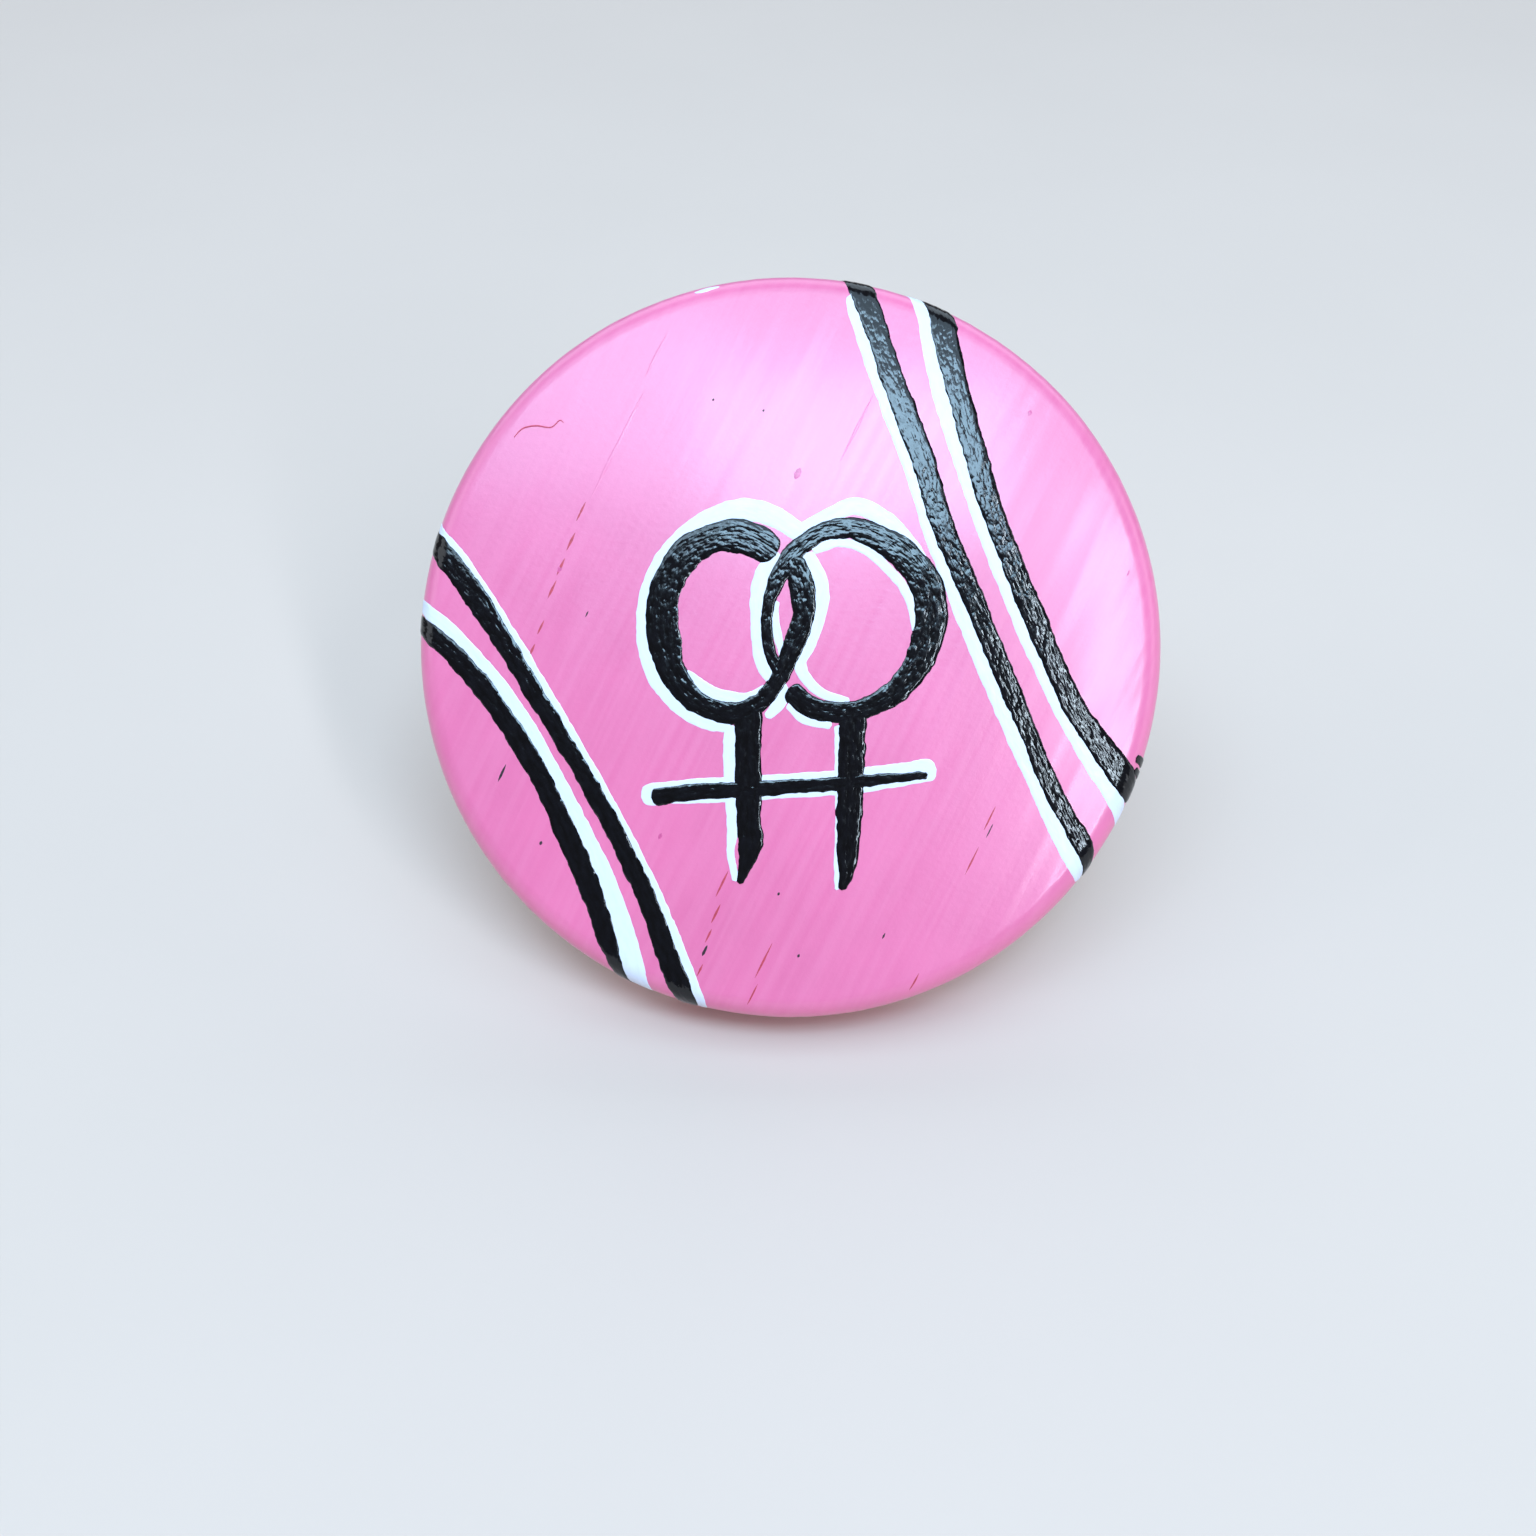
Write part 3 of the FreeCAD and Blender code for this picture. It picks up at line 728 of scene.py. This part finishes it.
BLACK_LINES = (
    # left ring, from its blob round to where the right ring covers it
    ((-0.62, 3.48, 1.3), (-1.25, 3.95, 1.4), (-2.1, 4.28, 1.45), (-3.1, 4.2, 1.25),
     (-4.2, 3.55, 1.35), (-4.95, 2.2, 1.3), (-5.1, 0.6, 1.4), (-4.75, -1.0, 1.2),
     (-3.9, -2.15, 1.0), (-2.8, -2.7, 0.95), (-1.7, -2.55, 0.85), (-0.65, -1.6, 0.8),
     (0.4, 0.8, 0.88), (0.44, 2.1, 1.02), (0.2, 3.0, 1.0), (0.05, 3.4, 0.8)),
    # right ring, from its blob round to the left ring
    ((-0.12, -1.75, 0.95), (0.75, -2.5, 0.95), (1.95, -2.7, 0.85), (3.15, -2.45, 0.9),
     (4.25, -1.75, 1.05), (5.1, -0.55, 1.2), (5.5, 1.0, 1.35), (5.35, 2.35, 1.4),
     (4.65, 3.35, 1.3), (3.65, 4.1, 1.15), (2.45, 4.55, 0.95), (1.3, 4.45, 0.8),
     (0.3, 3.8, 0.75), (-0.4, 2.85, 0.75), (-0.9, 1.7, 0.56), (-1.0, 0.5, 0.54),
     (-0.85, -0.4, 0.54), (-0.4, -1.3, 0.5)),
    # stems and the bar
    ((-1.7, -2.4, 1.15), (-1.7, -6.8, 1.08), (-1.62, -7.8, 1.02), (-2.05, -9.5, 0.3)),
    ((2.4, -2.5, 1.2), (2.27, -8.0, 1.0), (2.0, -9.75, 0.3)),
    ((-5.55, -6.05, 0.75), (-3.85, -5.85, 0.7), (1.5, -5.55, 0.6), (5.4, -5.15, 0.32)),
    # stripes on the right
    ((2.45, 16.0, 1.1), (2.8, 14.6, 1.2), (3.25, 13.0, 1.0), (5.3, 7.0, 1.0), (6.28, 4.0, 1.0),
     (10.07, -5.0, 0.78), (11.8, -8.2, 0.85), (12.25, -9.5, 0.35)),
    ((5.6, 15.9, 1.0), (6.05, 13.6, 1.15), (6.33, 11.5, 1.05), (7.93, 5.5, 1.0),
     (10.33, -0.5, 1.0), (11.42, -2.7, 0.98), (13.4, -5.4, 1.2), (14.2, -6.2, 0.9)),
    # dabs where the outer stripe runs over the rim
    ((13.9, -4.5, 0.3), (14.6, -4.8, 0.4), (15.2, -5.0, 0.25)),
    ((13.9, -5.0, 0.3), (14.6, -5.4, 0.4), (15.3, -5.7, 0.3)),
    ((13.8, -5.7, 0.3), (14.4, -6.1, 0.4), (15.0, -6.5, 0.25)),
    # stripes on the left
    ((-15.5, 5.0, 0.8), (-13.35, 3.0, 1.0), (-9.53, -3.0, 0.8), (-6.6, -8.2, 0.77),
     (-4.5, -13.6, 0.95), (-4.2, -15.3, 0.7)),
    ((-15.7, 1.1, 0.7), (-14.5, 0.5, 0.85), (-12.5, -1.45, 0.88), (-10.35, -4.6, 0.88),
     (-8.3, -9.0, 0.97), (-7.2, -12.3, 0.75), (-6.8, -14.4, 0.55)),
)


def smooth_path(knots, step):
    """Places and widths along a line, about a step apart: a Catmull-Rom curve through the
    knots, its end knots repeated in line with the last run."""
    knots = np.array(knots, float)
    start = 2 * knots[:1] - knots[1:2]
    end = 2 * knots[-1:] - knots[-2:-1]
    ring = np.concatenate((start, knots, end))
    runs = np.hypot(*np.diff(knots[:, :2], axis=0).T)
    count = max(12, int(runs.sum() / step))
    along = np.concatenate(([0], np.cumsum(runs)))
    wanted = np.linspace(0, along[-1], count)
    span = np.clip(np.searchsorted(along, wanted, side="right") - 1, 0, len(runs) - 1)
    t = ((wanted - along[span]) / runs[span])[:, None]
    a, b, c, d = (ring[span + i] for i in range(4))
    return 0.5 * (2 * b + (c - a) * t + (2 * a - 5 * b + 4 * c - d) * t ** 2
                  + (3 * b - a - 3 * c + d) * t ** 3)


def brush_line(knots, height, ragged, seed, columns=17, step=0.055):
    """One brush line as a ribbon on the coat. Half its width is the path's, rounded off at
    both ends as sqrt(1 - e^2) and made ragged on each side by noise; across it t = sin(a)
    packs the columns at the edges, its height is 1 - t^8 with bristle tracks and lumps along
    it, and its edges dip under the coat."""
    path = smooth_path(knots, step)
    run = np.concatenate(([0], np.cumsum(np.hypot(*np.diff(path[:, :2], axis=0).T))))
    along = np.gradient(path[:, :2], axis=0)
    along /= np.linalg.norm(along, axis=1, keepdims=True)
    across = np.stack((-along[:, 1], along[:, 0]), axis=-1)
    half = path[:, 2] / 2
    from_end = np.minimum(run, run[-1] - run)
    blunt = np.clip(from_end / (half * 0.6), 0, 1)
    half = half * np.sqrt(1 - (1 - blunt) ** 2)
    t = np.sin(np.linspace(-np.pi / 2, np.pi / 2, columns))[None, :]
    side = np.where(t < 0, 17.0, 63.0)
    edge_dip = 0.012
    run_grid = run[:, None] + 0 * t
    wander = smooth_noise(run_grid * 0.9 + side, side + seed, seed) - 0.5
    fray = smooth_noise(run_grid * 3.1 + side, side + seed + 9, seed + 1) - 0.5
    nick = smooth_noise(run_grid * 7.5 + side, side + seed + 5, seed + 4) - 0.5
    edge = ragged * (1.5 * wander + 1.3 * fray + 0.7 * nick) * blunt[:, None]
    offset = t * np.maximum(half[:, None] + edge, 0.004)
    px = path[:, :1] + across[:, :1] * offset
    py = path[:, 1:2] + across[:, 1:] * offset
    tracks = smooth_noise(offset * 8 + 40, run_grid * 0.9 + 5, seed + 2) - 0.5
    lumps = smooth_noise(offset * 4.5 + 80, run_grid * 3.2 + 30, seed + 3) - 0.5
    crown = 1 - t ** 8
    relief = settings("lines").bristle_relief * (tracks + lumps)
    level = crown * (height + relief) - edge_dip * (1 - crown)
    places = on_coat(px, py, level)
    chart = np.stack((run_grid + seed * 7.3, offset + 20), axis=-1)
    return places.reshape(-1, 3), chart.reshape(-1, 2), len(path), columns


def build_lines(name, lines, height, ragged, seed, material, slot):
    """All the lines of one colour as one piece of paint."""
    places, charts, faces = [], [], []
    start = 0
    for number, knots in enumerate(lines):
        spots, chart, rows, columns = brush_line(knots, height, ragged, seed + 5 * number)
        places.append(spots)
        charts.append(chart)
        faces.append(grid_faces(rows, columns, start))
        start += rows * columns
    faces = [np.concatenate(faces)[:, ::-1]]
    piece = mesh_piece(name, np.concatenate(places), faces, np.concatenate(charts))
    return finish_piece(piece, material, "badge", slot)


def build_fibre():
    """A thin hair caught in the paint: a round section carried along a short curve."""
    path = smooth_path(((-11.1, 8.35, 0.03), (-10.75, 8.7, 0.05), (-10.2, 8.8, 0.06),
                        (-9.6, 8.72, 0.05), (-9.25, 9.0, 0.04), (-9.1, 8.9, 0.03)), 0.06)
    turn = np.linspace(0, 2 * np.pi, 9)[:-1]
    along = np.gradient(path[:, :2], axis=0)
    along /= np.linalg.norm(along, axis=1, keepdims=True)
    across = np.stack((-along[:, 1], along[:, 0]), axis=-1)
    half = path[:, 2:3] / 2
    px = path[:, :1] + across[:, :1] * half * np.cos(turn)
    py = path[:, 1:2] + across[:, 1:] * half * np.cos(turn)
    places = on_coat(px, py, half * np.sin(turn) + 0.01).reshape(-1, 3)
    faces = [grid_faces(len(path), len(turn), 0, True)]
    first_ring = np.arange(len(turn))[None]
    ends = [first_ring[:, ::-1], (len(path) - 1) * len(turn) + first_ring]
    piece = mesh_piece("fibre_in_paint", places, faces + ends)
    finish_piece(piece, plain_mark("fibre", (0.62, 0.07, 0.13), 0.5), "badge", "pink_paint")


# ---- behind the disc ----------------------------------------------------------


def build_glue():
    """Glue squeezed out round the pad: a hollow fillet from the wood to the pad's edge,
    turned about the axis, its foot wandering in and out."""
    climb = -measure("glue_bed")[0]
    sunk = 0.03
    foot = GLUE_RADIUS - 0.1
    top = PAD_RADIUS - 0.05
    steps = np.linspace(0, 1, 22)
    outline = np.concatenate((
        [(0.0, sunk), (foot * 0.5, sunk), (foot, sunk)],
        np.stack((foot + (top - foot) * steps, -climb * steps ** 1.9), axis=-1),
        [(PAD_RADIUS - 0.3, -climb), (0.0, 0.1 - climb)],
    ))
    segments = 220
    turn = np.linspace(0, 2 * np.pi, segments, endpoint=False)
    ease = np.clip((outline[:, 0] - PAD_RADIUS) / (foot - PAD_RADIUS), 0, 1)[:, None]
    wander = 0.09 * np.sin(2 * turn + 0.7) + 0.07 * np.sin(3 * turn + 2.1)
    wander = wander + 0.05 * np.sin(7 * turn + 0.4) + 0.03 * np.sin(13 * turn)
    swell = 1 + ease * (wander[None, :] - 0.05) * 0.32
    places, faces = lathe(outline, segments, swell)
    piece = mesh_piece("glue_squeezed_out", places, [group[:, ::-1] for group in faces])
    finish_piece(piece, set_glue(), "badge", "epoxy", "glue_bed")


def dress_node(node, material):
    """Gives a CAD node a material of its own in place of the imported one."""
    mesh = frame["nodes"][node].data
    mesh.materials.clear()
    mesh.materials.append(material)


def build_tack():
    """Nickel-plated pad and post."""
    back = settings("back")
    plated = worn_metal(
        "plated_nickel", back.nickel, tarnish=(0.52, 0.50, 0.46), roughness=0.2,
        turned_rings=True)
    for node in ("tack_pad", "tack_post"):
        dress_node(node, plated)


def build_clutch():
    """Brass cup, spring and wings."""
    back = settings("back")
    drawn = worn_metal(
        "drawn_brass", back.brass, tarnish=(0.55, 0.36, 0.16), roughness=0.2, turned_rings=True)
    rolled = worn_metal(
        "rolled_brass", shade(back.brass, 0.94), tarnish=(0.52, 0.35, 0.17), roughness=0.26,
        turned_rings=False)
    dress_node("clutch_cup", drawn)
    for node in ("clutch_spring", "clutch_wing_upper", "clutch_wing_lower"):
        dress_node(node, rolled)


# ---- floor, lights and camera -------------------------------------------------


def place(holder, spot, direction, up):
    """Puts a camera or a light at a world spot so that its -Z points along a direction and
    its Y is as near up as it can be."""
    backward = -Vector(direction).normalized()
    right = Vector(up).cross(backward).normalized()
    turn = Matrix((right, backward.cross(right), backward)).transposed()
    holder.matrix_world = Matrix.Translation(Vector(spot)) @ turn.to_4x4()


def soft_light(name, right_angle, up_angle, distance, width, height, power, colour):
    """A soft box seen from the disc at angles to the right of and above the face's normal."""
    lamp = bpy.data.lights.new(name, "AREA")
    lamp.shape = "RECTANGLE"
    lamp.size = width
    lamp.size_y = height
    lamp.energy = power
    lamp.color = colour
    holder = bpy.data.objects.new(name, lamp)
    bpy.context.scene.collection.objects.link(holder)
    across = math.radians(right_angle)
    rise = math.radians(up_angle)
    away = (math.sin(across) * math.cos(rise), math.sin(rise), math.cos(across) * math.cos(rise))
    direction = np.array(away) @ LOCAL_AXES
    place(holder, CENTRE + direction * distance, -direction, UP)


def build_floor():
    """Plain pale floor at z = 0."""
    stage = settings("stage")
    reach = 3.0
    corners = [(-reach, -reach, 0), (reach, -reach, 0), (reach, reach, 0), (-reach, reach, 0)]
    mesh = bpy.data.meshes.new("floor")
    mesh.from_pydata(corners, [], [(0, 1, 2, 3)])
    floor = bpy.data.objects.new("floor", mesh)
    bpy.context.scene.collection.objects.link(floor)
    shader = Shader("pale_floor")
    spot = shader.node("ShaderNodeTexCoord").outputs["Object"]
    cloud = shader.noise(spot, 30.0, 3.0, 0.5)
    base = shader.mix(cloud, shade(stage.floor, 0.97), shade(stage.floor, 1.03))
    shader.set(Base_Color=base, Roughness=0.75)
    mesh.materials.append(shader.material)


def build_camera():
    """Camera square on to the face, as far off and aimed as the settings say."""
    stage = settings("stage")
    camera = bpy.data.cameras.new("camera")
    camera.sensor_width = 36.0
    camera.lens = stage.lens
    camera.clip_start = 0.001
    holder = bpy.data.objects.new("camera", camera)
    bpy.context.scene.collection.objects.link(holder)
    bends = side_profile(np.zeros(1))[4]
    widest = side_profile(np.array([bends[1]]))[1][0]
    spot = to_world(np.array((stage.aim_right, stage.aim_up, widest + stage.distance)))
    place(holder, spot, BACKWARD, UP)
    bpy.context.scene.camera = holder


# Daylight as soft boxes: name, degrees to the right of the face's normal and above it,
# distance, width and height in metres, power in watts, and colour.
LIGHTS = (
    ("window", 7, 20, 0.5, 0.22, 0.12, 1.55, (0.48, 0.76, 1.0)),
    ("window_left", -18, 25, 0.5, 0.20, 0.13, 0.6, (0.52, 0.78, 1.0)),
    ("sky", -3, 41, 0.5, 0.72, 0.28, 1.75, (0.54, 0.78, 1.0)),
    ("pane_right", 27, -1, 0.5, 0.035, 0.31, 1.15, (0.72, 0.87, 1.0)),
    ("fill_left", -68, 20, 0.6, 0.30, 0.40, 0.6, (0.86, 0.93, 1.0)),
    ("fill_right", 76, 8, 0.6, 0.24, 0.50, 0.65, (0.86, 0.93, 1.0)),
    ("sky_behind", 0, 98, 0.6, 1.50, 0.34, 2.9, (0.70, 0.86, 1.0)),
)


def build_lights():
    """The soft boxes, and a weak warm glow from all round."""
    for light in LIGHTS:
        soft_light(*light)
    world = bpy.data.worlds.new("studio")
    world.use_nodes = True
    sky = world.node_tree.nodes["Background"]
    sky.inputs["Color"].default_value = (1.0, 0.95, 0.92, 1)
    sky.inputs["Strength"].default_value = 0.13
    bpy.context.scene.world = world
    bpy.context.scene.view_settings.view_transform = "Standard"


# ---- operators ----------------------------------------------------------------


class BADGE_OT_wood(bpy.types.Operator):
    """Turn the wooden blank"""

    bl_idname = "badge.wood"
    bl_label = "Wooden blank"

    def execute(self, context):
        build_wood()
        return {"FINISHED"}


class BADGE_OT_coat(bpy.types.Operator):
    """Brush the pink coat over the face and the edge"""

    bl_idname = "badge.coat"
    bl_label = "Pink coat"

    def execute(self, context):
        build_coat()
        return {"FINISHED"}


class BADGE_OT_marks(bpy.types.Operator):
    """Add the open pores and the hair caught in the paint"""

    bl_idname = "badge.marks"
    bl_label = "Pores and hair"

    def execute(self, context):
        build_pores()
        build_fibre()
        return {"FINISHED"}


class BADGE_OT_white(bpy.types.Operator):
    """Paint the white lines"""

    bl_idname = "badge.white"
    bl_label = "White lines"

    def execute(self, context):
        lines = settings("lines")
        paint = line_paint(
            "white_paint", lines.white, shade(lines.white, 0.94), roughness=0.34,
            tracks_depth=0.008, lumps_depth=0.005)
        build_lines(
            "white_lines", WHITE_LINES, lines.white_height, lines.white_ragged, seed=100,
            material=paint, slot="white_paint")
        return {"FINISHED"}


class BADGE_OT_black(bpy.types.Operator):
    """Paint the black lines over the white ones"""

    bl_idname = "badge.black"
    bl_label = "Black lines"

    def execute(self, context):
        lines = settings("lines")
        paint = line_paint(
            "black_paint", lines.black, shade(lines.black, 2.5), roughness=0.12,
            tracks_depth=0.026, lumps_depth=0.018)
        build_lines(
            "black_lines", BLACK_LINES, lines.black_height, lines.black_ragged, seed=300,
            material=paint, slot="black_paint")
        return {"FINISHED"}


class BADGE_OT_tack(bpy.types.Operator):
    """Glue, pad and post on the back"""

    bl_idname = "badge.tack"
    bl_label = "Glue and tack"

    def execute(self, context):
        build_glue()
        build_tack()
        return {"FINISHED"}


class BADGE_OT_clutch(bpy.types.Operator):
    """Butterfly clutch on the post"""

    bl_idname = "badge.clutch"
    bl_label = "Butterfly clutch"

    def execute(self, context):
        build_clutch()
        return {"FINISHED"}


class BADGE_OT_stage(bpy.types.Operator):
    """Floor, lights and camera"""

    bl_idname = "badge.stage"
    bl_label = "Stage"

    def execute(self, context):
        build_floor()
        build_camera()
        build_lights()
        return {"FINISHED"}


PIECES = (
    BADGE_OT_wood, BADGE_OT_coat, BADGE_OT_marks, BADGE_OT_white, BADGE_OT_black,
    BADGE_OT_tack, BADGE_OT_clutch, BADGE_OT_stage,
)
GROUPS = {"coat": BadgeCoat, "lines": BadgeLines, "back": BadgeBack, "stage": BadgeStage}


class BADGE_PT_panel(bpy.types.Panel):
    """Sizes, colours and pieces of the badge"""

    bl_idname = "BADGE_PT_panel"
    bl_label = "Pin Badge"
    bl_space_type = "VIEW_3D"
    bl_region_type = "UI"
    bl_category = "Pin Badge"

    def draw(self, context):
        for name, group in GROUPS.items():
            column = self.layout.column(align=True)
            column.label(text=name.capitalize())
            for key in group.__annotations__:
                column.prop(settings(name), key)
        for piece in PIECES:
            self.layout.operator(piece.bl_idname)


def register():
    """Registers the settings, the pieces and the panel."""
    for group in GROUPS.values():
        bpy.utils.register_class(group)
    for piece in PIECES:
        bpy.utils.register_class(piece)
    bpy.utils.register_class(BADGE_PT_panel)
    for name, group in GROUPS.items():
        setattr(bpy.types.Scene, "badge_" + name, PointerProperty(type=group))


def unregister():
    """Takes back what register did."""
    for name in GROUPS:
        delattr(bpy.types.Scene, "badge_" + name)
    bpy.utils.unregister_class(BADGE_PT_panel)
    for piece in reversed(PIECES):
        bpy.utils.unregister_class(piece)
    for group in reversed(list(GROUPS.values())):
        bpy.utils.unregister_class(group)


def main():
    register()
    bpy.ops.badge.wood()
    bpy.ops.badge.coat()
    bpy.ops.badge.marks()
    bpy.ops.badge.white()
    bpy.ops.badge.black()
    bpy.ops.badge.tack()
    bpy.ops.badge.clutch()
    bpy.ops.badge.stage()


if __name__ == "__main__":
    main()
